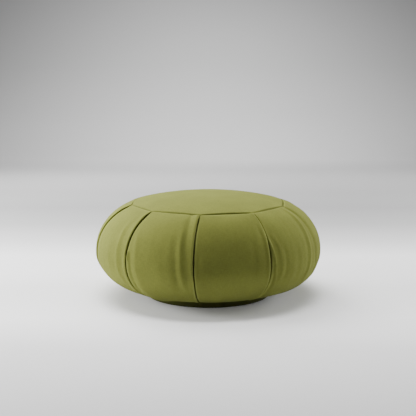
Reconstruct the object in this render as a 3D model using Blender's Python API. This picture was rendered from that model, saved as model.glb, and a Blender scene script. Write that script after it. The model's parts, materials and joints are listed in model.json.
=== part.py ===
"""A round floor cushion for sitting in meditation, of the kind called a zafu.

A side strip in ten knife pleats is sewn between a crowned top round and a flat bottom round, and firmly filled.
Metres, +Z up. The origin is on the floor under the middle. Azimuths run from -Y towards +X.
"""
import math

import bmesh
import bpy
import numpy as np

# Driving dimensions
GIRTH_RADIUS = 0.180
GIRTH_HEIGHT = 0.0716
TOP_SEAM_RADIUS = 0.1244  # at the corners of its outline, where the pleats run into it
TOP_SEAM_HEIGHT = 0.1489
CROWN_RISE = 0.0149
CROWN_POWER = 2.2
BOTTOM_SEAM_RADIUS = 0.1120  # tucked in under the side
BOTTOM_SEAM_HEIGHT = 0.0137
REST_RADIUS = 0.100  # the flat of the bottom round that lies on the floor
BELLY_POWER = 1.2
UPPER_CORE = 0.0893  # radius about which the upper wall is rounded
LOWER_CORE = 0.1100
UPPER_POWER = 2.10  # 2 is an ellipse, more is squarer
LOWER_POWER = 1.97

CLOTH = 0.0020
GAP = 0.0003

# The seams
ROUNDING = dict(line_top=0.25, line_low=0.70)  # 0 is a straight-sided outline between the pleats, 1 is a circle
REACH = dict(line_top=0.018, line_low=0.014)  # how soon the outline's flat sides fill out, away from its seam
SEAM_DIP = 0.0016
SEAM_ROLL = 0.0045  # how far each side of a seam its dip reaches
SEAM_FLOOR = 0.0019

# The pleats
PLEAT_LAP = 0.0070
PLEAT_DEPTH = 0.0052
SEAM_FLATNESS = 0.24  # how thick a pleat stays where a seam holds it
SEAM_FADE = 0.016
MOUTH_HELD = 0.4  # the share of a slot's width that a pleat with no thickness would keep

# One row for each pleat. line_top, line_girth and line_low are the azimuths of its dark line in degrees, at the
# top seam, the middle of the wall and the bottom seam. mouth is the width of its open slot.
PLEATS = (
    dict(line_top=-76.8, line_girth=-79.8, line_low=-79.5, mouth=0.0038),
    dict(line_top=-43.6, line_girth=-43.9, line_low=-41.4, mouth=0.0042),
    dict(line_top=-5.7, line_girth=-7.0, line_low=-6.2, mouth=0.0034),
    dict(line_top=32.9, line_girth=31.3, line_low=31.0, mouth=0.0018),
    dict(line_top=69.8, line_girth=71.5, line_low=73.0, mouth=0.0026),
    dict(line_top=105.2, line_girth=104.2, line_low=105.6, mouth=0.0034),
    dict(line_top=141.4, line_girth=140.8, line_low=142.0, mouth=0.0030),
    dict(line_top=178.0, line_girth=176.9, line_low=177.6, mouth=0.0036),
    dict(line_top=213.4, line_girth=212.8, line_low=214.2, mouth=0.0028),
    dict(line_top=248.2, line_girth=247.0, line_low=248.0, mouth=0.0034),
)

# The section of a pleat, from the panel that laps over to the panel that it covers. Along the wall a point lies
# at lap x PLEAT_LAP + mouth x the pleat's mouth from the line, and depth x PLEAT_DEPTH under the surface.
# spread is its place, in laps, where the cloth lies flat under a round.
PLEAT_SECTION = (
    dict(lap=-0.80, mouth=-0.5, depth=0.00, spread=-0.95),  # shoulder of the lip
    dict(lap=-0.28, mouth=-0.5, depth=0.03, spread=-0.75),  # crest of the lip
    dict(lap=-0.07, mouth=-0.5, depth=0.16, spread=-0.58),
    dict(lap=0.00, mouth=-0.5, depth=0.34, spread=-0.42),  # fold edge
    dict(lap=-0.12, mouth=-0.5, depth=0.53, spread=-0.26),
    dict(lap=-1.00, mouth=-0.5, depth=0.74, spread=-0.10),  # end of the slot
    dict(lap=-0.30, mouth=-0.5, depth=0.96, spread=0.06),  # covered cloth in the slot
    dict(lap=0.00, mouth=0.3, depth=0.72, spread=0.22),
    dict(lap=0.12, mouth=0.5, depth=0.34, spread=0.42),  # where the covered panel shows
    dict(lap=0.42, mouth=0.6, depth=0.10, spread=0.68),
    dict(lap=1.10, mouth=0.6, depth=0.00, spread=1.15),
)
PANEL_STEPS = (0.06, 0.13, 0.21, 0.32, 0.46, 0.60, 0.71, 0.79, 0.87, 0.94)

# One row for each soft fold or bulge that the filling pushes up beside a pleat. azimuth_top and azimuth_low are in
# degrees at its two ends, start and end are distances down the wall from the top seam, height is above the
# surface (below it for a trough) and width is half its breadth.
FOLDS = (
    dict(azimuth_top=-84.5, azimuth_low=-83.0, start=0.035, end=0.130, height=0.0012, width=0.0075),
    dict(azimuth_top=-51.4, azimuth_low=-48.2, start=0.030, end=0.130, height=0.0014, width=0.0065),
    dict(azimuth_top=-47.8, azimuth_low=-46.0, start=0.035, end=0.125, height=-0.0009, width=0.0050),
    dict(azimuth_top=-40.3, azimuth_low=-36.6, start=0.055, end=0.145, height=0.0012, width=0.0070),
    dict(azimuth_top=-12.4, azimuth_low=-11.6, start=-0.010, end=0.080, height=-0.0018, width=0.0065),
    dict(azimuth_top=-11.2, azimuth_low=-8.9, start=0.075, end=0.125, height=-0.0012, width=0.0050),
    dict(azimuth_top=-15.6, azimuth_low=-13.0, start=0.022, end=0.132, height=0.0015, width=0.0070),
    dict(azimuth_top=-18.4, azimuth_low=-17.0, start=0.060, end=0.130, height=-0.0009, width=0.0075),
    dict(azimuth_top=21.9, azimuth_low=21.4, start=0.028, end=0.105, height=-0.0011, width=0.0085),
    dict(azimuth_top=25.8, azimuth_low=25.2, start=0.025, end=0.095, height=0.0010, width=0.0070),
    dict(azimuth_top=34.9, azimuth_low=33.9, start=0.045, end=0.140, height=0.0015, width=0.0055),
    dict(azimuth_top=37.0, azimuth_low=36.4, start=0.050, end=0.118, height=-0.0012, width=0.0055),
    dict(azimuth_top=41.0, azimuth_low=45.4, start=0.060, end=0.150, height=0.0010, width=0.0080),
    dict(azimuth_top=61.4, azimuth_low=60.6, start=0.015, end=0.090, height=-0.0018, width=0.0080),
    dict(azimuth_top=65.8, azimuth_low=61.8, start=0.005, end=0.140, height=0.0016, width=0.0070),
    dict(azimuth_top=76.0, azimuth_low=62.0, start=0.118, end=0.189, height=0.0023, width=0.0500),
    dict(azimuth_top=98.0, azimuth_low=100.2, start=0.020, end=0.125, height=0.0014, width=0.0075),
    dict(azimuth_top=94.4, azimuth_low=96.4, start=0.030, end=0.110, height=-0.0011, width=0.0080),
    dict(azimuth_top=109.6, azimuth_low=112.4, start=0.050, end=0.145, height=0.0011, width=0.0075),
    dict(azimuth_top=133.6, azimuth_low=136.4, start=0.010, end=0.120, height=0.0013, width=0.0070),
    dict(azimuth_top=146.0, azimuth_low=149.2, start=0.055, end=0.150, height=0.0012, width=0.0080),
    dict(azimuth_top=169.2, azimuth_low=171.6, start=0.025, end=0.130, height=0.0015, width=0.0075),
    dict(azimuth_top=165.8, azimuth_low=168.0, start=0.050, end=0.120, height=-0.0010, width=0.0075),
    dict(azimuth_top=182.0, azimuth_low=184.4, start=0.045, end=0.140, height=0.0012, width=0.0070),
    dict(azimuth_top=206.0, azimuth_low=208.6, start=0.015, end=0.125, height=0.0014, width=0.0075),
    dict(azimuth_top=202.4, azimuth_low=204.0, start=0.020, end=0.100, height=-0.0012, width=0.0080),
    dict(azimuth_top=218.0, azimuth_low=221.4, start=0.060, end=0.150, height=0.0011, width=0.0080),
    dict(azimuth_top=240.2, azimuth_low=242.6, start=0.025, end=0.130, height=0.0014, width=0.0070),
    dict(azimuth_top=252.4, azimuth_low=255.0, start=0.050, end=0.140, height=0.0011, width=0.0075),
    dict(azimuth_top=276.2, azimuth_low=278.6, start=0.050, end=0.140, height=0.0011, width=0.0080),
)
FOLD_STEEPNESS = 1.2
FOLD_END = 0.25  # the share of a fold's length in which each end fades

# Rows of the loft
ROUND_STEPS = (0.42, 0.76)  # shares of the way out, for the crown and what lies under it
BELLY_STEP = 0.35  # share of the way from the edge of the flat to the bottom seam
OUTLINE_STEPS = (0.0, 0.04, 0.11, 0.20, 0.30, 0.40, 0.50, 0.60, 0.70, 0.80, 0.89, 0.96)  # for the rounds
WALL_ROWS = 11
SEAM_ROWS = (0.0013, 0.0046)  # distances from a seam
CURVE_STEPS = 120  # in each quarter of the wall's profile

OLIVE = (0.235, 0.215, 0.075, 1.0)
CLOTH_ROUGHNESS = 0.9
SHARP_ANGLE = math.radians(50)


def quarter_curve(seam_radius, core, power, steps):
    """Radii from the girth in to a seam, and how far up or down each lies as a share of a full quarter."""
    reach = GIRTH_RADIUS - core
    furthest = math.acos(((seam_radius - core) / reach) ** (power / 2))
    turn = np.linspace(0, furthest, steps)
    return core + reach * np.cos(turn) ** (2 / power), np.sin(turn) ** (2 / power)


def wall_curve():
    """Points down the wall from the top seam to the bottom seam, with their distances from the top seam."""
    upper, climb = quarter_curve(TOP_SEAM_RADIUS, UPPER_CORE, UPPER_POWER, CURVE_STEPS)
    lower, sink = quarter_curve(BOTTOM_SEAM_RADIUS, LOWER_CORE, LOWER_POWER, CURVE_STEPS)
    rise = (TOP_SEAM_HEIGHT - GIRTH_HEIGHT) / climb[-1]
    drop = (GIRTH_HEIGHT - BOTTOM_SEAM_HEIGHT) / sink[-1]
    radius = np.concatenate((upper[:0:-1], lower))
    height = GIRTH_HEIGHT + np.concatenate((rise * climb[:0:-1], -drop * sink))
    steps = np.hypot(np.diff(radius), np.diff(height))
    return radius, height, np.concatenate(([0.0], np.cumsum(steps)))


WALL_RADIUS, WALL_HEIGHT, WALL_DOWN = wall_curve()
WALL_LENGTH = WALL_DOWN[-1]
NORMAL_RADIUS = -np.gradient(WALL_HEIGHT, WALL_DOWN)
NORMAL_HEIGHT = np.gradient(WALL_RADIUS, WALL_DOWN)


def smooth(share):
    """An even ease from 0 to 1."""
    share = np.clip(share, 0.0, 1.0)
    return share * share * (3 - 2 * share)


def pleat_line(pleat, down):
    """The azimuth of a pleat's line in degrees, at a distance down the wall."""
    share = down / WALL_LENGTH
    top = (1 - share) * (1 - 2 * share)
    middle = 4 * share * (1 - share)
    low = share * (2 * share - 1)
    return top * pleat["line_top"] + middle * pleat["line_girth"] + low * pleat["line_low"]


def pleat_thickness(down):
    """How thick the pleats are at a distance down the wall: a seam flattens them."""
    from_seam = min(down, WALL_LENGTH - down)
    return SEAM_FLATNESS + (1 - SEAM_FLATNESS) * smooth(from_seam / SEAM_FADE)


def fold_height(azimuth, down):
    """How far the soft folds lift the cloth at a place on the wall."""
    total = 0.0
    for fold in FOLDS:
        share = (down - fold["start"]) / (fold["end"] - fold["start"])
        if not 0.0 < share < 1.0:
            continue
        centre = fold["azimuth_top"] + share * (fold["azimuth_low"] - fold["azimuth_top"])
        off_degrees = (azimuth - centre + 180) % 360 - 180
        off = math.radians(off_degrees) * GIRTH_RADIUS / fold["width"]
        fade = smooth(share / FOLD_END) * smooth((1 - share) / FOLD_END)
        total += fold["height"] * fade * math.exp(-FOLD_STEEPNESS * off * off)
    return total


def outline(azimuth, key):
    """The seam's outline at an azimuth, as a share of its corners' radius: nearly straight between pleats."""
    corners = sorted(pleat[key] % 360 for pleat in PLEATS)
    corners.append(corners[0] + 360)
    place = (azimuth - corners[0]) % 360 + corners[0]
    start = max(corner for corner in corners[:-1] if corner <= place)
    end = corners[corners.index(start) + 1]
    half = math.radians(end - start) / 2
    off = math.radians(place - start) - half
    straight = math.cos(half) / math.cos(off)
    return straight + ROUNDING[key] * (1 - straight)


def inward(down):
    """The way into the cushion from a place down the wall: straight down or up at the seams."""
    free = smooth(min(down, WALL_LENGTH - down) / SEAM_FADE)
    out = -free * np.interp(down, WALL_DOWN, NORMAL_RADIUS)
    up = -np.interp(down, WALL_DOWN, NORMAL_HEIGHT)
    length = math.hypot(out, up)
    return out / length, up / length


def wall_point(azimuth, down, depth):
    """A point of the wall, at a depth under its surface."""
    radius = np.interp(down, WALL_DOWN, WALL_RADIUS)
    height = np.interp(down, WALL_DOWN, WALL_HEIGHT)
    drawn_top = (1 - outline(azimuth, "line_top")) * math.exp(-down / REACH["line_top"])
    drawn_low = (1 - outline(azimuth, "line_low")) * math.exp(-(WALL_LENGTH - down) / REACH["line_low"])
    radius *= 1 - drawn_top - drawn_low
    out, up = inward(down)
    return to_world(azimuth, radius + depth * out, height + depth * up)


def to_world(azimuth, radius, height):
    """World coordinates of a place given by azimuth in degrees, radius and height."""
    turn = math.radians(azimuth)
    return (radius * math.sin(turn), -radius * math.cos(turn), height)


def pleat_columns(pleat, down, folded):
    """The azimuths and depths of a pleat's section, at a distance down the wall."""
    radius = float(np.interp(down, WALL_DOWN, WALL_RADIUS))
    thickness = pleat_thickness(down)
    mouth = pleat["mouth"] * (MOUTH_HELD + (1 - MOUTH_HELD) * thickness)
    section = []
    for point in PLEAT_SECTION:
        along = point["lap"] * PLEAT_LAP + point["mouth"] * mouth
        depth = point["depth"] * PLEAT_DEPTH * thickness
        if not folded:
            along = point["spread"] * PLEAT_LAP
            depth = 0.0
        section.append((pleat_line(pleat, down) + math.degrees(along / radius), depth))
    return section


def columns(down, folded):
    """The azimuths and depths of one ring of the pleated side, at a distance down the wall."""
    sections = [pleat_columns(pleat, down, folded) for pleat in PLEATS]
    starts = [section[0][0] for section in sections[1:]]
    starts.append(sections[0][0][0] + 360)
    ring = []
    for section, next_start in zip(sections, starts):
        end = section[-1][0]
        ring += section
        ring += [(end + step * (next_start - end), 0.0) for step in PANEL_STEPS]
    return ring


def wall_ring(down, extra_depth=0.0, folded=True):
    """One ring of the pleated side, with its pleats and folds."""
    points = []
    for azimuth, depth in columns(down, folded):
        lift = fold_height(azimuth, down) if depth < PLEAT_DEPTH / 4 else 0.0
        points.append(wall_point(azimuth, down, depth + extra_depth - lift))
    return points


def seam_depth(from_seam):
    """How deep a seam draws the cloth in, at a distance from it."""
    return SEAM_DIP * (1 - smooth(from_seam / SEAM_ROLL))


def crown_height(share):
    """The height of the top round's upper face, at a share of the way out to its seam."""
    return TOP_SEAM_HEIGHT + CROWN_RISE * (1 - share**CROWN_POWER)


def belly_height(radius, seam_radius):
    """The height of the bottom round's lower face: flat on the floor, then turned up to its seam."""
    share = max(0.0, (radius - REST_RADIUS) / (seam_radius - REST_RADIUS))
    return BOTTOM_SEAM_HEIGHT * share**BELLY_POWER


def top_ring(azimuths, share, inset, drop):
    """A ring of the top round, or of what lies under it."""
    points = []
    for azimuth in azimuths:
        seam_radius = TOP_SEAM_RADIUS * outline(azimuth, "line_top")
        radius = share * seam_radius - inset
        height = crown_height(radius / TOP_SEAM_RADIUS) - seam_depth(seam_radius - radius)
        points.append(to_world(azimuth, radius, height - drop))
    return points


def bottom_ring(azimuths, share, inset, rise):
    """A ring of the bottom round, or of what lies over it. Share 0 is the edge of its flat."""
    points = []
    for azimuth in azimuths:
        seam_radius = BOTTOM_SEAM_RADIUS * outline(azimuth, "line_low")
        radius = REST_RADIUS + share * (seam_radius - REST_RADIUS) - inset
        height = belly_height(radius, seam_radius) + share * seam_depth(seam_radius - radius)
        points.append(to_world(azimuth, radius, height + rise))
    return points


def loft(name, rings, top, bottom):
    """One closed body through rings that run round from -Y towards +X, from its top point to its bottom."""
    mesh = bpy.data.meshes.new(name)
    shape = bmesh.new()
    rows = [[shape.verts.new(point) for point in ring] for ring in rings]
    count = len(rows[0])
    first = shape.verts.new(top)
    last = shape.verts.new(bottom)
    for i in range(count):
        j = (i + 1) % count
        shape.faces.new((first, rows[0][i], rows[0][j]))
        shape.faces.new((last, rows[-1][j], rows[-1][i]))
        for upper, lower in zip(rows, rows[1:]):
            shape.faces.new((upper[i], lower[i], lower[j], upper[j]))
    shape.to_mesh(mesh)
    shape.free()
    return mesh


def cloth_material(name):
    """Olive cotton canvas."""
    material = bpy.data.materials.new(name)
    material.use_nodes = True
    shader = material.node_tree.nodes["Principled BSDF"]
    shader.inputs["Base Color"].default_value = OLIVE
    shader.inputs["Roughness"].default_value = CLOTH_ROUGHNESS
    shader.inputs["Metallic"].default_value = 0.0
    material.diffuse_color = OLIVE
    return material


def place(name, mesh, collection, material):
    """Adds a finished piece to the cushion's collection."""
    piece = bpy.data.objects.new(name, mesh)
    mesh.materials.append(material)
    mesh.shade_smooth()
    mesh.set_sharp_from_angle(angle=SHARP_ANGLE)
    collection.objects.link(piece)
    return piece


def outline_azimuths(key):
    """Azimuths round a seam, closest together at its corners."""
    corners = [pleat[key] for pleat in PLEATS]
    corners.append(corners[0] + 360)
    return [a + step * (b - a) for a, b in zip(corners, corners[1:]) for step in OUTLINE_STEPS]


def top_round():
    """The crowned disc of cloth on top."""
    azimuths = outline_azimuths("line_top")
    edge = (1.0, SEAM_ROLL)
    rim = (1.0, GAP / 2)
    spans = [(share, 0.0) for share in ROUND_STEPS] + [edge, rim]
    rings = [top_ring(azimuths, share, inset, 0.0) for share, inset in spans]
    rings += [top_ring(azimuths, share, inset, CLOTH) for share, inset in reversed(spans)]
    centre = crown_height(0.0)
    return loft("top_round", rings, (0, 0, centre), (0, 0, centre - CLOTH))


def bottom_round():
    """The disc of cloth underneath, flat where it rests."""
    azimuths = outline_azimuths("line_low")
    spans = [(0.0, 0.0), (BELLY_STEP, 0.0), (1.0, SEAM_ROLL), (1.0, GAP / 2)]
    rings = [bottom_ring(azimuths, share, inset, CLOTH) for share, inset in spans]
    rings += [bottom_ring(azimuths, share, inset, 0.0) for share, inset in reversed(spans)]
    return loft("bottom_round", rings, (0, 0, CLOTH), (0, 0, 0))


def pleated_side():
    """The pleated strip with what fills it, from under the top round to over the bottom one."""
    under = CLOTH + GAP
    high = [azimuth for azimuth, depth in columns(0.0, folded=False)]
    low = [azimuth for azimuth, depth in columns(WALL_LENGTH, folded=False)]
    rings = [top_ring(high, share, 0.0, under) for share in ROUND_STEPS]
    rings.append(top_ring(high, 1.0, SEAM_ROLL, under))
    rings.append(top_ring(high, 1.0, -GAP / 2, under))
    rings.append(wall_ring(GAP, SEAM_FLOOR, folded=False))
    rings += [wall_ring(down, seam_depth(down)) for down in SEAM_ROWS]
    for row in range(1, WALL_ROWS + 1):
        rings.append(wall_ring(WALL_LENGTH * row / (WALL_ROWS + 1)))
    rings += [wall_ring(WALL_LENGTH - down, seam_depth(down)) for down in reversed(SEAM_ROWS)]
    rings.append(wall_ring(WALL_LENGTH - GAP, SEAM_FLOOR, folded=False))
    rings.append(bottom_ring(low, 1.0, -GAP / 2, under))
    rings.append(bottom_ring(low, 1.0, SEAM_ROLL, under))
    rings += [bottom_ring(low, share, 0.0, under) for share in (BELLY_STEP, 0.0)]
    top = (0, 0, crown_height(0.0) - under)
    return loft("pleated_side", rings, top, (0, 0, under))


def build():
    """Clears the scene and makes the cushion."""
    for old in list(bpy.data.objects):
        bpy.data.objects.remove(old, do_unlink=True)
    cushion = bpy.data.collections.new("zafu_cushion")
    bpy.context.scene.collection.children.link(cushion)
    for name, make in (("pleated_side", pleated_side), ("top_round", top_round), ("bottom_round", bottom_round)):
        place(name, make(), cushion, cloth_material(name + "_cloth"))


build()
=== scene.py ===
import json
import math

import bmesh
import bpy
import numpy as np
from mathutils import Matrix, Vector

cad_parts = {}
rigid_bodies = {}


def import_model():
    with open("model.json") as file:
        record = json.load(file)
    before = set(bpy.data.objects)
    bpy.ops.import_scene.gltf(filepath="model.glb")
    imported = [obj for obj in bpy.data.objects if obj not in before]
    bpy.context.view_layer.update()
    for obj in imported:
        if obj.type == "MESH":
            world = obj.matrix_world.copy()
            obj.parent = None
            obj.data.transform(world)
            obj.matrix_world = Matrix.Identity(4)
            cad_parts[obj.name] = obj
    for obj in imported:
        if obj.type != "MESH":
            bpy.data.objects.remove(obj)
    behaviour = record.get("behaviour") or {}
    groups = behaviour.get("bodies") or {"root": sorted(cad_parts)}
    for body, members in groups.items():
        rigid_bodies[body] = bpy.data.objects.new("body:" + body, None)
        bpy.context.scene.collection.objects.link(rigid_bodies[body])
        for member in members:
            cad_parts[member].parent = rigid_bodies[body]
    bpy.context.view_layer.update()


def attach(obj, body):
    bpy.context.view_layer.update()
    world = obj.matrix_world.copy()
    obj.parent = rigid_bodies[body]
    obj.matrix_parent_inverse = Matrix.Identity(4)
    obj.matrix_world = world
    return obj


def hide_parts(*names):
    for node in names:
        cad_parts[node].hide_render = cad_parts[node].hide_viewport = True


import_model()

mm = 0.001

# a long lens a little above the cushion
view = {
    "distance": 1.62,  # from the middle of the cushion
    "middle": 0.0756,
    "elevation": 11.66,
    "pitch": 9.45,  # tilts up from the cushion, which sits low in the picture
    "side": -0.0005,  # a hair left of the middle
    "lens": 86.3,
    "sensor": 36,  # in mm, as the lens is
    "clipEnd": 50,
}


def makeCamera(view):
    data = bpy.data.cameras.new("camera")
    data.lens = view["lens"]
    data.sensor_width = view["sensor"]
    data.clip_end = view["clipEnd"]
    camera = bpy.data.objects.new("camera", data)
    up = math.radians(view["elevation"])
    camera.location = (
        view["side"],
        -view["distance"] * math.cos(up),
        view["middle"] + view["distance"] * math.sin(up),
    )
    camera.rotation_euler = (math.radians(90 - view["pitch"]), 0, 0)
    bpy.context.scene.collection.objects.link(camera)
    bpy.context.scene.camera = camera


makeCamera(view)
print("camera placed")

# sizes of the cushion in metres
cushion = {
    "girthRadius": 0.180,
    "girthHeight": 0.0716,
    "crownRise": 0.0149,
    "crownPower": 2.2,
    "restRadius": 0.100,  # the flat that lies on the floor
    "bellyPower": 1.2,
    "cloth": 0.0020,
    "gap": 0.0003,
    "curveSteps": 300,  # in each quarter of the wall's curve
}

# The wall is two quarter curves from its girth to its seams, and the low seam is tucked in under it. A
# seam's radius is at the corners of its outline, whose rounding is 0 for straight edges between the pleats
# and 1 for a circle, and reach is how far that outline is felt up or down the wall. place is the seam's end
# of a pleat's line.
ends = {
    "top": {
        "radius": 0.1244,
        "height": 0.1489,
        "core": 0.0893,
        "power": 2.10,
        "rounding": 0.25,
        "reach": 0.018,
        "place": 0,
    },
    "low": {
        "radius": 0.1120,
        "height": 0.0137,
        "core": 0.1100,
        "power": 1.97,
        "rounding": 0.70,
        "reach": 0.014,
        "place": -1,
    },
}


def quarterCurve(end, shares):
    # radii from the girth in to a seam, and how far up or down each lies as a share of a full quarter
    reach = cushion["girthRadius"] - end["core"]
    furthest = math.acos(((end["radius"] - end["core"]) / reach) ** (end["power"] / 2))
    turn = shares * furthest
    return end["core"] + reach * np.cos(turn) ** (2 / end["power"]), np.sin(turn) ** (2 / end["power"])


def wallCurve(c):
    upperRadius, climb = quarterCurve(ends["top"], np.linspace(1, 0, c["curveSteps"]))
    lowerRadius, sink = quarterCurve(ends["low"], np.linspace(0, 1, c["curveSteps"])[1:])
    rise = (ends["top"]["height"] - c["girthHeight"]) / climb[0]
    drop = (c["girthHeight"] - ends["low"]["height"]) / sink[-1]
    radius = np.concatenate((upperRadius, lowerRadius))
    height = c["girthHeight"] + np.concatenate((rise * climb, -drop * sink))
    steps = np.hypot(np.diff(radius), np.diff(height))
    return radius, height, np.concatenate(([0.0], np.cumsum(steps)))


wallRadius, wallHeight, wallDown = wallCurve(cushion)
wallLength = wallDown[-1]
wallOut = -np.gradient(wallHeight, wallDown)
wallUp = np.gradient(wallRadius, wallDown)

# The ten knife pleats. line holds the azimuths of a pleat's dark line in degrees, from -Y towards +X, at
# every lineStep down the wall from the top seam. mouth and proud are pairs of mm down the wall and mm: how
# wide its slot stands open, and how far its lip stands above the panel beside it. round is how wide the
# covered panel turns under, in mm. The last is how strong the painted highlight on its edges is.
pleats = [
    {
        "line": (-76.8, -79.0, -80.8, -81.0, -79.5),
        "mouth": ((0, 4.6), (60, 4.2), (120, 3.6), (187, 2.4)),
        "proud": ((0, 0.9),),
        "round": 7.5,
        "paintedHighlight": 0.25,
    },
    {
        "line": (-43.6, -44.0, -43.9, -42.6, -41.4),
        "mouth": ((0, 3.2), (30, 2.6), (60, 2.3), (77, 2.0), (83, 2.6), (88, 1.0), (140, 0.9), (187, 1.0)),
        "proud": ((0, 0.8),),
        "round": 3.0,
        "paintedHighlight": 0.4,
    },
    {
        "line": (-5.7, -6.8, -7.0, -6.5, -6.2),
        "mouth": ((0, 1.5), (30, 1.3), (60, 1.7), (90, 2.0), (125, 1.1), (187, 0.9)),
        "proud": ((0, 1.0), (50, 0.8), (187, 0.7)),
        "round": 2.2,
        "paintedHighlight": 0.7,
    },
    {
        "line": (32.9, 31.9, 31.3, 30.6, 31.0),
        "mouth": ((0, 0.3), (45, 0.5), (62, 2.2), (80, 3.3), (98, 2.8), (120, 1.6), (187, 1.4)),
        "proud": ((0, 0.1), (45, 0.3), (70, 1.2), (187, 1.0)),
        "round": 2.6,
        "paintedHighlight": 1,
    },
    {
        "line": (69.8, 69.7, 70.0, 71.5, 73.0),
        "mouth": ((0, 0.6), (60, 1.4), (95, 3.0), (187, 2.4)),
        "proud": ((0, 0.0), (90, 0.3)),
        "round": 7.0,
        "paintedHighlight": 0.15,
    },
    {
        "line": (105.2, 104.6, 104.2, 104.8, 105.6),
        "mouth": ((0, 3.2), (95, 3.4), (187, 2.4)),
        "proud": ((0, 0.8),),
        "round": 4.5,
        "paintedHighlight": 0.6,
    },
    {
        "line": (141.4, 141.0, 140.8, 141.2, 142.0),
        "mouth": ((0, 2.6), (95, 3.2), (187, 2.2)),
        "proud": ((0, 0.9),),
        "round": 4.0,
        "paintedHighlight": 0.8,
    },
    {
        "line": (178.0, 177.3, 176.9, 177.1, 177.6),
        "mouth": ((0, 3.4), (95, 3.6), (187, 2.6)),
        "proud": ((0, 0.8),),
        "round": 3.4,
        "paintedHighlight": 0.6,
    },
    {
        "line": (213.4, 213.0, 212.8, 213.3, 214.2),
        "mouth": ((0, 2.4), (95, 2.8), (187, 2.0)),
        "proud": ((0, 0.9),),
        "round": 5.0,
        "paintedHighlight": 0.8,
    },
    {
        "line": (248.2, 247.4, 247.0, 247.3, 248.0),
        "mouth": ((0, 3.2), (95, 3.4), (187, 2.4)),
        "proud": ((0, 0.8),),
        "round": 4.0,
        "paintedHighlight": 0.6,
    },
]

# A pleat's section, from the lip's shoulder round the fold edge, into the slot and out over the covered
# panel. A point lies lap x the side's lap + mouth x the pleat's mouth + turn x its round along the wall,
# depth x the side's depth under the surface, and proud x the pleat's proud above it. The last two columns
# are painted light: how far a painted highlight lightens the cloth on the fold edges, and how far painted
# shade darkens it in the slot.
section = [
    {"lap": -1.90, "mouth": -0.5, "turn": 0.0, "depth": 0.00, "proud": 0.00, "paintedHighlight": 0.00, "paintedShade": 0.00},
    {"lap": -1.30, "mouth": -0.5, "turn": 0.0, "depth": 0.00, "proud": 0.03, "paintedHighlight": 0.00, "paintedShade": 0.00},
    {"lap": -0.80, "mouth": -0.5, "turn": 0.0, "depth": 0.00, "proud": 0.24, "paintedHighlight": 0.00, "paintedShade": 0.00},
    {"lap": -0.42, "mouth": -0.5, "turn": 0.0, "depth": 0.00, "proud": 0.90, "paintedHighlight": 0.15, "paintedShade": 0.00},
    {"lap": -0.20, "mouth": -0.5, "turn": 0.0, "depth": 0.02, "proud": 1.00, "paintedHighlight": 0.60, "paintedShade": 0.00},
    {"lap": -0.08, "mouth": -0.5, "turn": 0.0, "depth": 0.07, "proud": 0.92, "paintedHighlight": 1.00, "paintedShade": 0.00},
    {"lap": -0.02, "mouth": -0.5, "turn": 0.0, "depth": 0.14, "proud": 0.75, "paintedHighlight": 1.00, "paintedShade": 0.00},
    {"lap": 0.00, "mouth": -0.5, "turn": 0.0, "depth": 0.22, "proud": 0.50, "paintedHighlight": 0.50, "paintedShade": 0.00},
    {"lap": -0.03, "mouth": -0.5, "turn": 0.0, "depth": 0.31, "proud": 0.30, "paintedHighlight": 0.00, "paintedShade": 0.50},
    {"lap": -0.12, "mouth": -0.5, "turn": 0.0, "depth": 0.38, "proud": 0.10, "paintedHighlight": 0.00, "paintedShade": 0.90},
    {"lap": -0.40, "mouth": -0.5, "turn": 0.0, "depth": 0.45, "proud": 0.00, "paintedHighlight": 0.00, "paintedShade": 1.00},
    {"lap": -0.80, "mouth": -0.5, "turn": 0.0, "depth": 0.52, "proud": 0.00, "paintedHighlight": 0.00, "paintedShade": 1.00},
    {"lap": -0.98, "mouth": -0.5, "turn": 0.0, "depth": 0.64, "proud": 0.00, "paintedHighlight": 0.00, "paintedShade": 1.00},
    {"lap": -0.96, "mouth": -0.5, "turn": 0.0, "depth": 0.82, "proud": 0.00, "paintedHighlight": 0.00, "paintedShade": 1.00},
    {"lap": -0.60, "mouth": -0.5, "turn": 0.0, "depth": 0.94, "proud": 0.00, "paintedHighlight": 0.00, "paintedShade": 1.00},
    {"lap": -0.15, "mouth": 0.0, "turn": 0.0, "depth": 0.92, "proud": 0.00, "paintedHighlight": 0.00, "paintedShade": 1.00},
    {"lap": 0.00, "mouth": 0.4, "turn": 0.0, "depth": 0.68, "proud": 0.00, "paintedHighlight": 0.00, "paintedShade": 0.80},
    {"lap": 0.00, "mouth": 0.5, "turn": 0.06, "depth": 0.44, "proud": 0.00, "paintedHighlight": 0.00, "paintedShade": 0.35},
    {"lap": 0.00, "mouth": 0.5, "turn": 0.18, "depth": 0.24, "proud": 0.00, "paintedHighlight": 0.20, "paintedShade": 0.00},
    {"lap": 0.00, "mouth": 0.5, "turn": 0.40, "depth": 0.09, "proud": 0.00, "paintedHighlight": 0.90, "paintedShade": 0.00},
    {"lap": 0.00, "mouth": 0.5, "turn": 0.75, "depth": 0.02, "proud": 0.00, "paintedHighlight": 0.70, "paintedShade": 0.00},
    {"lap": 0.00, "mouth": 0.5, "turn": 1.20, "depth": 0.00, "proud": 0.00, "paintedHighlight": 0.15, "paintedShade": 0.00},
    {"lap": 0.00, "mouth": 0.5, "turn": 2.00, "depth": 0.00, "proud": 0.00, "paintedHighlight": 0.00, "paintedShade": 0.00},
]

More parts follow.
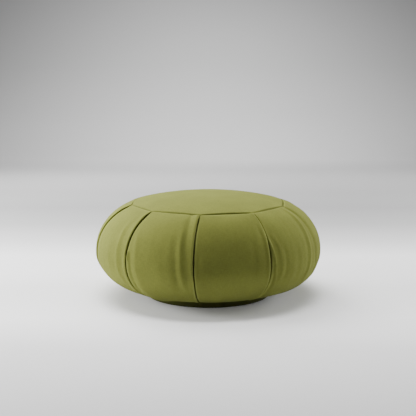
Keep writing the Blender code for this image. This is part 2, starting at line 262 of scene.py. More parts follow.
# Soft folds beside the pleats, and a few broad bulges. path holds the azimuths at the start, middle and end
# of one, from and to are distances down the wall from the top seam in mm, rise is in mm (below 0 for a
# trough), and left and right are the breadth of each flank in mm.
folds = [
    {"path": (-52.2, -51.2, -47.8), "from": 22, "to": 142, "rise": 0.8, "left": 4.5, "right": 4.5},
    {"path": (-49.4, -48.4, -45.8), "from": 18, "to": 118, "rise": -0.3, "left": 4.5, "right": 4.0},
    {"path": (-40.0, -37.4, -35.0), "from": 40, "to": 152, "rise": 0.9, "left": 3.5, "right": 8.0},
    {"path": (-41.2, -39.8, -38.4), "from": 76, "to": 166, "rise": -1.2, "left": 2.8, "right": 3.0},
    {"path": (-42.6, -42.7, -42.8), "from": 76, "to": 94, "rise": 1.3, "left": 2.0, "right": 2.2},
    {"path": (-59.0, -58.0, -55.5), "from": 80, "to": 130, "rise": 0.4, "left": 7.0, "right": 7.0},
    {"path": (-34.0, -33.0, -32.0), "from": 120, "to": 203, "rise": 2.6, "left": 24.0, "right": 28.0},
    {"path": (-11.2, -11.3, -10.8), "from": -44, "to": 84, "rise": -0.9, "left": 6.4, "right": 3.0},
    {"path": (-10.6, -10.0, -9.4), "from": 62, "to": 132, "rise": -0.3, "left": 2.8, "right": 2.4},
    {"path": (-13.8, -13.2, -9.8), "from": 26, "to": 150, "rise": 0.8, "left": 3.4, "right": 3.0},
    {"path": (-16.2, -15.6, -12.8), "from": 42, "to": 146, "rise": -0.7, "left": 6.5, "right": 3.4},
    {"path": (-8.2, -8.2, -8.0), "from": -10, "to": 140, "rise": 0.3, "left": 2.6, "right": 2.6},
    {"path": (-4.6, -4.4, -4.4), "from": 70, "to": 112, "rise": -0.5, "left": 3.0, "right": 4.0},
    {"path": (1.0, 1.2, 1.4), "from": 58, "to": 112, "rise": -0.35, "left": 8.0, "right": 7.0},
    {"path": (22.4, 22.4, 22.4), "from": 46, "to": 120, "rise": -0.8, "left": 5.0, "right": 4.0},
    {"path": (25.8, 25.8, 25.4), "from": 46, "to": 126, "rise": 0.4, "left": 5.0, "right": 4.0},
    {"path": (29.0, 28.9, 28.3), "from": 22, "to": 112, "rise": -1.0, "left": 3.6, "right": 2.0},
    {"path": (31.6, 33.5, 32.2), "from": 46, "to": 178, "rise": 4.0, "left": 1.7, "right": 1.9},
    {"path": (34.8, 35.8, 35.2), "from": 48, "to": 124, "rise": -0.5, "left": 2.5, "right": 3.0},
    {"path": (33.0, 38.0, 35.4), "from": 38, "to": 134, "rise": 0.6, "left": 3.0, "right": 4.0},
    {"path": (40.2, 40.6, 39.0), "from": 64, "to": 126, "rise": -0.7, "left": 3.0, "right": 5.0},
    {"path": (44.6, 45.0, 45.4), "from": 90, "to": 150, "rise": 0.5, "left": 7.0, "right": 8.0},
    {"path": (49.8, 49.4, 48.4), "from": 60, "to": 136, "rise": -0.5, "left": 5.0, "right": 6.0},
    {"path": (61.4, 59.4, 57.2), "from": 10, "to": 124, "rise": -0.3, "left": 5.0, "right": 3.2},
    {"path": (65.6, 61.8, 58.6), "from": -10, "to": 162, "rise": 1.8, "left": 5.2, "right": 3.4},
    {"path": (70.4, 70.2, 70.2), "from": -20, "to": 118, "rise": -2.4, "left": 4.2, "right": 5.6},
    {"path": (-7.8, -7.9, -8.0), "from": -8, "to": 14, "rise": 0.6, "left": 3.0, "right": 3.0},
    {"path": (31.6, 31.4, 31.0), "from": -8, "to": 12, "rise": 0.8, "left": 4.0, "right": 3.0},
    {"path": (76.0, 70.0, 62.0), "from": 118, "to": 200, "rise": 2.0, "left": 50.0, "right": 50.0},
    {"path": (86.0, 86.0, 84.0), "from": -30, "to": 160, "rise": 1.5, "left": 32.0, "right": 40.0},
    {"path": (-86.0, -86.0, -86.0), "from": -30, "to": 160, "rise": 0.7, "left": 40.0, "right": 24.0},
    {"path": (98.0, 99.4, 100.2), "from": 20, "to": 125, "rise": 1.3, "left": 7.5, "right": 5.0},
    {"path": (94.4, 95.6, 96.4), "from": 30, "to": 110, "rise": -1.0, "left": 8.0, "right": 5.0},
    {"path": (109.6, 110.4, 112.4), "from": 50, "to": 145, "rise": 1.0, "left": 5.0, "right": 7.5},
    {"path": (133.6, 134.8, 136.4), "from": 10, "to": 120, "rise": 1.2, "left": 7.0, "right": 5.0},
    {"path": (146.0, 147.0, 149.2), "from": 55, "to": 150, "rise": 1.1, "left": 5.0, "right": 8.0},
    {"path": (169.2, 170.6, 171.6), "from": 25, "to": 130, "rise": 1.4, "left": 7.5, "right": 5.0},
    {"path": (165.8, 167.2, 168.0), "from": 50, "to": 120, "rise": -0.9, "left": 7.5, "right": 5.0},
    {"path": (182.0, 182.8, 184.4), "from": 45, "to": 140, "rise": 1.1, "left": 5.0, "right": 7.0},
    {"path": (206.0, 207.6, 208.6), "from": 15, "to": 125, "rise": 1.3, "left": 7.5, "right": 5.0},
    {"path": (202.4, 203.4, 204.0), "from": 20, "to": 100, "rise": -1.1, "left": 8.0, "right": 5.0},
    {"path": (218.0, 219.2, 221.4), "from": 60, "to": 150, "rise": 1.0, "left": 5.0, "right": 8.0},
    {"path": (240.2, 241.6, 242.6), "from": 25, "to": 130, "rise": 1.3, "left": 7.0, "right": 5.0},
    {"path": (252.4, 253.4, 255.0), "from": 50, "to": 140, "rise": 1.0, "left": 5.0, "right": 7.5},
    {"path": (275.5, 276.4, 277.0), "from": 35, "to": 130, "rise": 1.1, "left": 7.0, "right": 5.0},
    {"path": (288.0, 287.4, 289.0), "from": 50, "to": 140, "rise": 0.9, "left": 5.0, "right": 8.0},
]
foldShape = {
    "steepness": 1.2,  # of the flanks
    "end": 0.25,  # the share of a fold's length in which each end fades
}

# The two seams. sideDip and roundDip are how far the cloth on each side of one turns in, and the rolls over
# what breadth. drawn holds where a seam is drawn deeper than the rest, as an azimuth and a breadth in degrees
# and a share.
seams = {
    "sideDip": 0.7 * mm,
    "sideRoll": 1.3 * mm,
    "roundDip": 2.1 * mm,
    "roundRoll": 1.9 * mm,
    "roundTurn": 1.4,  # 1 is a straight slope down to the seam, more is rounder
    "floor": 3.4 * mm,  # how deep a seam's groove usually is
    "drawn": ((10, 17, 1.2), (97, 15, -0.6), (160, 15, 0.5), (232, 12, 0.5), (267, 14, -0.7)),
    "pleatFill": 0.6,  # the share of that which a pleat's doubled cloth fills
    "fillBreadth": 1.4,  # in degrees
    "paintedShade": 0.6,  # how far painted shade darkens the cloth beside a seam
    "seamShadeBreadth": 2.4 * mm,
    "highlightShare": 0.3,  # how strong the painted highlight on the side's upper edge is
    "edgeDown": 1.9 * mm,
    "edgeBreadth": 0.9 * mm,
}

side = {
    "columns": 860,  # round the cushion, the same number in each panel
    "foldShare": 0.52,  # of a panel's columns that make its pleat
    "wallRows": 86,
    "underTop": (0.0, 0.35, 0.7, 0.9),  # shares of the way out to the seam, under the top round
    "overBottom": (0.5, 0.0, -0.5, -1.0),  # shares of the way out from the flat, over the bottom round
    "seamRows": (0.6, 0.9, 1.3, 1.8, 2.6, 3.8, 5.4),  # distances from a seam in mm
    "lineStep": 46.75 * mm,
    "lap": 7.0 * mm,
    "depth": 5.6 * mm,
    "foldsReach": 0.3,  # how far into a slot the soft folds are felt, as a share of its depth
    "mouthHeld": 0.4,  # the share of its width that a slot would keep with no thickness left
    "unfolded": (-2.0, 1.5),  # the same cloth laid flat round a seam, in laps
    "seamFlatness": 0.22,  # how thick a pleat stays where a seam holds it
    "seamFade": 16 * mm,
    "highlightFrom": (12 * mm, 50 * mm),  # where the painted highlights on the fold edges start and are in full
    "fullShadeMouth": 2 * mm,  # a slot this wide gets its painted shade in full
    "nearFloorShade": 0.8,  # how far painted shade darkens the cloth that nearly rests on the floor
    "nearFloorShadeHeight": 20 * mm,
}
perPanel = side["columns"] // len(pleats)
foldColumns = int(perPanel * side["foldShare"])


def ease(share):
    share = np.clip(share, 0.0, 1.0)
    return share * share * (3 - 2 * share)


def throughThree(first, middle, last, share):
    return (
        (1 - share) * (1 - 2 * share) * first
        + 4 * share * (1 - share) * middle
        + share * (2 * share - 1) * last
    )


def fourWeights(t):
    # Catmull-Rom shares of the four values round a place
    return (
        0.5 * (2 * t**2 - t - t**3),
        0.5 * (2 - 5 * t**2 + 3 * t**3),
        0.5 * (t + 4 * t**2 - 3 * t**3),
        0.5 * (t**3 - t**2),
    )


def smoothThrough(values, place):
    values = np.asarray(values, float)
    padded = np.concatenate(([2 * values[0] - values[1]], values, [2 * values[-1] - values[-2]]))
    first = np.clip(np.floor(place).astype(int), 0, len(values) - 2)
    return sum(share * padded[first + i] for i, share in enumerate(fourWeights(place - first)))


def pleatLine(pleat, down):
    return smoothThrough(pleat["line"], min(down / side["lineStep"], len(pleat["line"]) - 1))


def outline(azimuth, end):
    corners = np.sort([pleat["line"][end["place"]] % 360 for pleat in pleats])
    corners = np.append(corners, corners[0] + 360)
    place = (azimuth - corners[0]) % 360 + corners[0]
    panel = np.clip(np.searchsorted(corners, place, "right") - 1, 0, len(pleats) - 1)
    half = np.radians(corners[panel + 1] - corners[panel]) / 2
    off = np.radians(place - corners[panel]) - half
    straight = np.cos(half) / np.cos(off)
    return straight + end["rounding"] * (1 - straight)


def pleatFlatness(down):
    fromSeam = min(down, wallLength - down)
    return side["seamFlatness"] + (1 - side["seamFlatness"]) * ease(fromSeam / side["seamFade"])


def partWay(pairs, down):
    # what a table of pairs in mm says at a distance down the wall
    return np.interp(down / mm, *zip(*pairs)) * mm


def sectionColumns(key):
    # one column of the section's table, read for each of a pleat's columns
    place = np.linspace(0, len(section) - 1, foldColumns)
    return smoothThrough([point[key] for point in section], place)


def pleatTone(key, shares):
    # the painted highlight or painted shade share of every column of one ring
    tone = np.concatenate((np.clip(sectionColumns(key), 0, 1), np.zeros(perPanel - foldColumns)))
    return np.concatenate([share * tone for share in shares])


def paintedEdgeHighlight(azimuth, down):
    # the painted highlight on the side's upper edge, where it stands over the seam
    off = (down - seams["edgeDown"]) / seams["edgeBreadth"]
    return np.clip(seams["highlightShare"] * drawnIn(azimuth) * math.exp(-(off**2)), 0, 1)


def wallTones(azimuth, down):
    # the painted highlight and painted shade shares of one ring
    fromSeam = min(down, wallLength - down)
    start, full = side["highlightFrom"]
    highlightShare = ease((fromSeam - start) / (full - start))
    paintedHighlight = pleatTone("paintedHighlight", [highlightShare * pleat["paintedHighlight"] for pleat in pleats])
    # painted shade in the slots, in the seam's groove and near the floor
    slotShade = [min(partWay(pleat["mouth"], down) / side["fullShadeMouth"], 1) for pleat in pleats]
    seamShade = seamPaintedShade(azimuth, 2 * fromSeam)  # half as broad as on the rounds
    floorShade = side["nearFloorShade"] * (1 - ease((wallLength - down) / side["nearFloorShadeHeight"]))
    paintedShade = np.maximum(pleatTone("paintedShade", slotShade), np.maximum(seamShade, floorShade))
    return np.maximum(paintedHighlight, paintedEdgeHighlight(azimuth, down)), paintedShade


def ringColumns(down, folded):
    # the azimuth and depth of every column of one ring
    radius = float(np.interp(down, wallDown, wallRadius))
    thick = pleatFlatness(down)
    lap, mouth, turn = [sectionColumns(key) for key in ("lap", "mouth", "turn")]
    depth, proud = [sectionColumns(key) for key in ("depth", "proud")]
    laid = np.linspace(*side["unfolded"], foldColumns) * side["lap"]
    doubled, depths = [], []
    for pleat in pleats:
        width = partWay(pleat["mouth"], down) * (side["mouthHeld"] + (1 - side["mouthHeld"]) * thick)
        along = lap * side["lap"] + mouth * width + turn * pleat["round"] * mm
        sunk = depth * side["depth"] - proud * partWay(pleat["proud"], down)
        doubled.append(pleatLine(pleat, down) + np.degrees((along if folded else laid) / radius))
        depths += [sunk * thick * folded, np.zeros(perPanel - foldColumns)]
    doubled.append(doubled[0] + 360)
    steps = np.arange(1, perPanel - foldColumns + 1) / (perPanel - foldColumns + 1)
    azimuths = []
    for this, following in zip(doubled, doubled[1:]):
        azimuths += [this, this[-1] + steps * (following[0] - this[-1])]
    return np.concatenate(azimuths), np.concatenate(depths)


def foldHeight(azimuth, down):
    total = np.zeros_like(azimuth)
    for fold in folds:
        share = (down / mm - fold["from"]) / (fold["to"] - fold["from"])
        if not 0 < share < 1:
            continue
        centre = throughThree(*fold["path"], share)
        off = np.radians((azimuth - centre + 180) % 360 - 180) * cushion["girthRadius"] / mm
        flank = np.where(off < 0, fold["left"], fold["right"])
        fade = ease(share / foldShape["end"]) * ease((1 - share) / foldShape["end"])
        total += fold["rise"] * mm * fade * np.exp(-foldShape["steepness"] * (off / flank) ** 2)
    return total


# Faint puckers that run down the cloth all round. count is how many there are, lean how far they move round
# on the way down, in half puckers, and start where the first one stands, in radians of its wave.
puckers = {
    "waves": (
        {"count": 43, "lean": 0.9, "start": 0.4},
        {"count": 71, "lean": -1.3, "start": 2.1},
        {"count": 104, "lean": 1.7, "start": 4.0},
    ),
    "rise": 0.04 * mm,
    "fade": 48 * mm,
}


def pucker(azimuth, down):
    turn = np.radians(azimuth)
    total = 0.0
    for wave in puckers["waves"]:
        lean = wave["lean"] * math.pi * down / wallLength
        total = total + np.sin(wave["count"] * turn + lean + wave["start"])
    return puckers["rise"] * total * ease(min(down, wallLength - down) / puckers["fade"])


def intoCushion(down):
    # straight down or up at the seams, and square to the wall between them
    free = ease(min(down, wallLength - down) / side["seamFade"])
    out = -free * np.interp(down, wallDown, wallOut)
    up = -np.interp(down, wallDown, wallUp)
    length = math.hypot(out, up)
    return out / length, up / length


def toWorld(azimuth, radius, height):
    turn = np.radians(azimuth)
    return np.stack((radius * np.sin(turn), -radius * np.cos(turn), height + 0 * turn), axis=-1)


def wallPoints(azimuth, down, depth):
    radius = np.interp(down, wallDown, wallRadius)
    height = np.interp(down, wallDown, wallHeight)
    top, low = ends["top"], ends["low"]
    drawn = (1 - outline(azimuth, top)) * math.exp(-down / top["reach"])
    drawn += (1 - outline(azimuth, low)) * math.exp(-(wallLength - down) / low["reach"])
    out, up = intoCushion(down)
    return toWorld(azimuth, radius * (1 - drawn) + depth * out, height + depth * up)


def nearness(azimuth, at, breadth):
    # 1 at a place round the cushion, and fading away from it
    return np.exp(-(((azimuth - at + 180) % 360 - 180) / breadth) ** 2)


def drawnIn(azimuth):
    # how deep the seams are drawn, where 1 is the usual depth
    total = np.ones_like(azimuth)
    for at, breadth, deeper in seams["drawn"]:
        total += deeper * nearness(azimuth, at, breadth)
    for pleat in pleats:
        total *= 1 - seams["pleatFill"] * nearness(azimuth, pleat["line"][0], seams["fillBreadth"])
    return total


def sideDip(azimuth, down):
    # how far a seam draws in the side's cloth, and roundDip the round's
    fromSeam = min(down, wallLength - down)
    return seams["sideDip"] * drawnIn(azimuth) * (1 - ease(fromSeam / seams["sideRoll"]))


def roundDip(azimuth, fromSeam):
    share = np.clip(fromSeam / seams["roundRoll"], 0, 1)
    return seams["roundDip"] * drawnIn(azimuth) * (1 - share ** seams["roundTurn"])


def seamPaintedShade(azimuth, fromSeam):
    # painted shade on the cloth beside a seam
    return np.clip(seams["paintedShade"] * drawnIn(azimuth), 0, 1) * (1 - ease(fromSeam / seams["seamShadeBreadth"]))


def crownHeight(share):
    return ends["top"]["height"] + cushion["crownRise"] * (1 - share ** cushion["crownPower"])


def topRing(azimuth, share, inset, drop):
    seam = ends["top"]["radius"] * outline(azimuth, ends["top"])
    radius = share * seam - inset
    height = crownHeight(radius / ends["top"]["radius"]) - roundDip(azimuth, seam - radius) - drop
    return toWorld(azimuth, radius, height)


def bottomRing(azimuth, share, inset, rise):
    # share 0 is the edge of the flat, and below it the flat runs to the middle
    seam = ends["low"]["radius"] * outline(azimuth, ends["low"])
    rest = cushion["restRadius"]
    radius = np.where(share < 0, rest * (1 + share), rest + share * (seam - rest)) - inset
    climb = np.clip((radius - rest) / (seam - rest), 0, 1)
    height = ends["low"]["height"] * climb ** cushion["bellyPower"] + climb * roundDip(azimuth, seam - radius)
    return toWorld(azimuth, radius, height + rise)


def spunTube(name, rings):
    # A tube is spun with one row of points for each ring, and its rows are then drawn to the rings.
    rows, columns = len(rings), len(rings[0])
    shape = bmesh.new()
    line = [shape.verts.new((1, 0, row)) for row in range(rows)]
    edges = [shape.edges.new(pair) for pair in zip(line, line[1:])]
    bmesh.ops.spin(
        shape, geom=line + edges, cent=(0, 0, 0), axis=(0, 0, 1),
        angle=2 * math.pi, steps=columns, use_merge=True,
    )
    mesh = bpy.data.meshes.new(name)
    shape.to_mesh(mesh)
    shape.free()
    places = pointsOf(mesh)
    turn = np.arctan2(places[:, 1], places[:, 0]) / (2 * math.pi) * columns
    column = np.round(turn).astype(int) % columns
    row = np.round(places[:, 2]).astype(int)
    mesh.vertices.foreach_set("co", np.array(rings)[row, column].ravel())
    return mesh, row, column


def pointsOf(mesh):
    places = np.empty(len(mesh.vertices) * 3)
    mesh.vertices.foreach_get("co", places)
    return places.reshape(-1, 3)


weldReach = 0.01 * mm


def turnOutwards(mesh, closed):
    # a closed piece has its poles welded first
    shape = bmesh.new()
    shape.from_mesh(mesh)
    if closed:
        bmesh.ops.remove_doubles(shape, verts=shape.verts, dist=weldReach)
    bmesh.ops.recalc_face_normals(shape, faces=shape.faces)
    shape.to_mesh(mesh)
    shape.free()


def spunCloth(name, rings, tones):
    mesh, row, column = spunTube(name, rings)
    addClothMap(mesh, column, row, np.array(rings))
    for tone, shares in tones.items():
        mesh.attributes.new(tone, "FLOAT", "POINT").data.foreach_set("value", shares[row, column])
    turnOutwards(mesh, closed=True)
    mesh.shade_smooth()
    piece = bpy.data.objects.new(name, mesh)
    bpy.context.scene.collection.objects.link(piece)
    return piece


def addClothMap(mesh, column, row, rings):
    # the cloth's own map in metres: across is the way round the girth, along is the way down the strip
    columns = rings.shape[1]
    steps = np.linalg.norm(np.diff(rings, axis=0), axis=2).mean(axis=1)
    along = np.concatenate(([0.0], np.cumsum(steps)))
    widest = rings[np.argmax(np.linalg.norm(rings[:, :, :2], axis=2).mean(axis=1))]
    across = np.concatenate(([0.0], np.cumsum(np.linalg.norm(np.roll(widest, -1, 0) - widest, axis=1))))
    corners = np.empty(len(mesh.loops), int)
    mesh.loops.foreach_get("vertex_index", corners)
    place = column[corners].reshape(-1, 4)
    wraps = place.max(axis=1) - place.min(axis=1) > columns // 2
    place = np.where(wraps[:, None] & (place < columns // 2), place + columns, place)
    uv = np.stack((across[place.ravel()], along[row[corners]]), axis=-1)
    layer = mesh.uv_layers.new(name="cloth")
    layer.data.foreach_set("uv", uv.ravel())


def flatMap(piece):
    # a round is cut flat, so its map is its plan
    mesh = piece.data
    corners = np.empty(len(mesh.loops), int)
    mesh.loops.foreach_get("vertex_index", corners)
    mesh.uv_layers["cloth"].data.foreach_set("uv", pointsOf(mesh)[corners, :2].ravel())


# The filling's swell: a plain body with no seams or pleats, a little smaller than the finished one, is blown
# up as cloth. It is held at its seams, and more loosely down the pleats, whose doubled cloth gives less.
swelling = {
    "columns": 240,
    "rows": 44,
    "closing": (0.02, 0.5, 0.9),  # the rings that close its ends, as shares of a seam's radius
    "smaller": 0.9 * mm,
    "most": 2.5 * mm,
    "pressure": 16,
    "stretch": 0.5,  # how hard the cloth resists, far below its usual 15
    "quality": 6,
    "smoothings": 4,
    "frames": 20,
    "pleatHold": 0.5,
    "holdBreadth": 7 * mm,
}


def plainRings(azimuth, downs):
    rings = [wallPoints(azimuth, 0.0, 0.0) * (share, share, 1) for share in swelling["closing"]]
    for down in downs:
        free = ease(min(down, wallLength - down) / (2 * side["seamFade"]))
        rings.append(wallPoints(azimuth, down, swelling["smaller"] * free))
    ending = reversed(swelling["closing"])
    return rings + [wallPoints(azimuth, wallLength, 0.0) * (share, share, 1) for share in ending]


def holdShares(azimuth, downs):
    # how firmly each point of the plain body is held: in full at its seams and ends
    closing = len(swelling["closing"])
    hold = np.ones((len(downs) + 2 * closing, len(azimuth)))
    for row, down in enumerate(downs[1:-1], closing + 1):
        lines = np.array([pleatLine(pleat, down) for pleat in pleats])
        off = np.abs((azimuth[:, None] - lines + 180) % 360 - 180).min(axis=1)
        off = np.radians(off) * np.interp(down, wallDown, wallRadius)
        hold[row] = swelling["pleatHold"] * np.exp(-((off / swelling["holdBreadth"]) ** 2))
    return hold


def blownPoints(body, s):
    cloth = body.modifiers.new("blown", "CLOTH")
    cloth.settings.quality = s["quality"]
    cloth.settings.use_pressure = True
    cloth.settings.uniform_pressure_force = s["pressure"]
    cloth.settings.tension_stiffness = s["stretch"]
    cloth.settings.compression_stiffness = s["stretch"]
    cloth.settings.shear_stiffness = s["stretch"] / 3
    cloth.settings.vertex_group_mass = "held"
    cloth.settings.effector_weights.gravity = 0
    cloth.collision_settings.use_collision = False
    cloth.point_cache.frame_end = s["frames"]
    for step in range(1, s["frames"] + 1):
        bpy.context.scene.frame_set(step)
    blown = bpy.data.meshes.new_from_object(body.evaluated_get(bpy.context.evaluated_depsgraph_get()))
    places = pointsOf(blown)
    bpy.context.scene.frame_set(1)
    bpy.data.meshes.remove(blown)
    return places


def smoothed(moved, times):
    for _ in range(times):
        moved[1:-1] = (moved[:-2] + 2 * moved[1:-1] + moved[2:]) / 4
        moved = (np.roll(moved, 1, 1) + 2 * moved + np.roll(moved, -1, 1)) / 4
    return moved


def swollenWall(s):
    # how far the swollen cloth stands off the plain wall, by row and column
    azimuth = np.arange(s["columns"]) * 360 / s["columns"]
    downs = np.linspace(0, wallLength, s["rows"])
    mesh, row, column = spunTube("plainBody", plainRings(azimuth, downs))
    turnOutwards(mesh, closed=False)
    body = bpy.data.objects.new("plainBody", mesh)
    bpy.context.scene.collection.objects.link(body)
    held = body.vertex_groups.new(name="held")
    hold = holdShares(azimuth, downs)
    for point, share in enumerate(hold[row, column]):
        held.add([point], float(share), "REPLACE")
    grid = np.zeros((*hold.shape, 3))
    grid[row, column] = blownPoints(body, s)
    bpy.data.objects.remove(body)
    bpy.data.meshes.remove(mesh)
    moved = np.zeros((s["rows"], s["columns"]))
    for i, down in enumerate(downs):
        plain = wallPoints(azimuth, down, 0.0)
        outwards = (wallPoints(azimuth, down, -mm) - plain) / mm
        moved[i] = ((grid[len(s["closing"]) + i] - plain) * outwards).sum(axis=1)
    return np.clip(smoothed(moved, s["smoothings"]), -s["most"], s["most"])


swollen = np.zeros((swelling["rows"], swelling["columns"]))
swollen = swollenWall(swelling)
print("filling swollen: %.1f to %.1f mm" % (swollen.min() / mm, swollen.max() / mm))


def swell(azimuth, down):
    # the swell at any place on the wall, read smoothly between its rows and columns
    rows, columns = swollen.shape
    line = down / wallLength * (rows - 1)
    row = min(int(line), rows - 2)
    place = azimuth / 360 * columns
    column = np.floor(place).astype(int)
    total = 0.0
    for i, share in enumerate(fourWeights(line - row)):
        near = swollen[min(max(row - 1 + i, 0), rows - 1)]
        across = fourWeights(place - column)
        total = total + share * sum(a * near[(column - 1 + j) % columns] for j, a in enumerate(across))
    return total


def wallRing(down, folded=True):
    # the rings that aren't folded are the floors of the two seams
    azimuth, depth = ringColumns(down, folded)
    dip = sideDip(azimuth, down) if folded else seams["floor"] * drawnIn(azimuth)
    shown = 1 - ease(depth / (side["foldsReach"] * side["depth"]))
    raised = foldHeight(azimuth, down) + pucker(azimuth, down)
    depth = depth + dip - raised * shown - swell(azimuth, down)
    return wallPoints(azimuth, down, depth)


def makeSide():
    under = cushion["cloth"] + cushion["gap"]
    half = cushion["gap"] / 2
    high, _ = ringColumns(0.0, folded=False)
    low, _ = ringColumns(wallLength, folded=False)
    roll = seams["roundRoll"]
    rings = [topRing(high, share, 0.0, under) for share in side["underTop"]]
    rings += [topRing(high, 1.0, inset, under) for inset in (roll, roll / 2, -half)]
    edge = side["seamRows"][-1] * mm
    downs = [down * mm for down in side["seamRows"][:-1]]
    downs += list(np.linspace(edge, wallLength - edge, side["wallRows"]))
    downs += [wallLength - down for down in reversed(downs[:len(side["seamRows"]) - 1])]
    over = len(rings)
    rings.append(wallRing(cushion["gap"], folded=False))
    rings += [wallRing(float(down)) for down in downs]
    rings.append(wallRing(wallLength - cushion["gap"], folded=False))
    base = [bottomRing(low, 1.0, inset, under) for inset in (-half, roll / 2, roll)]
    base += [bottomRing(low, share, 0.0, under) for share in side["overBottom"]]
    shares = zip(*[wallTones(high, float(down)) for down in [0.0] + downs + [wallLength]])
    hidden = ((over, len(base)), (0, 0))  # the rings under the rounds have no tone
    tones = {name: np.pad(tone, hidden) for name, tone in zip(("paintedHighlight", "paintedShade"), shares)}
    return spunCloth("pleatedSide", rings + base, tones)


rounds = {
    "columns": 400,
    "steps": (0.0, 0.12, 0.24, 0.36, 0.48, 0.60, 0.72, 0.82, 0.90),  # shares of the way out to the seam
    "turnedUp": (-1.0, -0.66, -0.33, 0.0, 0.10, 0.20, 0.30),  # shares of the way out from the flat
    "rim": (5.4, 4.2, 3.2, 2.4, 1.6, 0.9, 0.4),  # distances in from the seam in mm
    "paintedShade": 0.85,  # painted shade on the bottom round, the one that rests on the floor
}


def topPaintedShade(azimuth, share, inset):
    # painted shade in the top seam's groove: only the rings of the rim lie near the seam
    return seamPaintedShade(azimuth, inset) * (share == 1.0)


def bottomPaintedShade(azimuth, share, inset):
    # the whole bottom round is painted in shade
    return np.full(len(azimuth), rounds["paintedShade"])


def makeRound(name, ringAt, shares, faces, paintedShadeAt):
    # faces are the offsets of its upper and its lower face
    azimuth = np.arange(rounds["columns"]) * 360 / rounds["columns"]
    spans = [(share, 0.0) for share in shares]
    spans += [(1.0, inset * mm) for inset in rounds["rim"]] + [(1.0, cushion["gap"] / 2)]
    rings = [ringAt(azimuth, share, inset, faces[0]) for share, inset in spans]
    rings += [ringAt(azimuth, share, inset, faces[1]) for share, inset in reversed(spans)]
    paintedShade = np.array([paintedShadeAt(azimuth, share, inset) for share, inset in spans + spans[::-1]])
    piece = spunCloth(name, rings, {"paintedShade": paintedShade})
    flatMap(piece)
    return piece


pleatedSide = makeSide()
topRound = makeRound("topRound", topRing, rounds["steps"], (0.0, cushion["cloth"]), topPaintedShade)
bottomRound = makeRound("bottomRound", bottomRing, rounds["turnedUp"], (cushion["cloth"], 0.0), bottomPaintedShade)
print("cloth shaped:", sum(len(p.data.polygons) for p in (pleatedSide, topRound, bottomRound)), "faces")

# olive cotton canvas: a fine plain weave, a little mottled by its dye
canvas = {
    "light": (0.157, 0.170, 0.039, 1),
    "deep": (0.117, 0.127, 0.029, 1),
    # the colour of the painted highlight on the fold edges and the side's upper edge
    "paintedHighlight": (0.28, 0.30, 0.08, 1),
    "highlightStrength": 0.7,  # how far the painted highlight on the pleats' edges goes towards it
    # the colour of the painted shade in the slots, in the seams and under the cushion
    "paintedShade": (0.02, 0.021, 0.007, 1),
    "paintedShadeStrength": 0.85,  # how far the painted shade in the pleats' insides, the seams and under the cushion goes towards it
    "roughness": 0.9,
    "specular": 0.02,
    "sheen": 0.02,
    "sheenRoughness": 0.5,
    "sheenTint": (0.95, 1.0, 0.45, 1),
    "threadGap": 0.62 * mm,
    "waver": 0.8,  # how far the threads wander
    "weaveDepth": 0.05 * mm,
    "weaveStrength": 0.5,
    "slub": 800,  # slubs in a metre
    "slubLength": 5,  # how much longer than wide they are
    "slubDepth": 0.8,  # of the weave's
    "slubTone": 0.34,
    "mottle": 30,  # patches in a metre
    "mottleTone": 0.32,
    "tones": (0.34, 0.66),  # where the dye is at its deepest and its lightest
}
waveRadians = 20  # what a wave texture turns through in a metre at scale 1


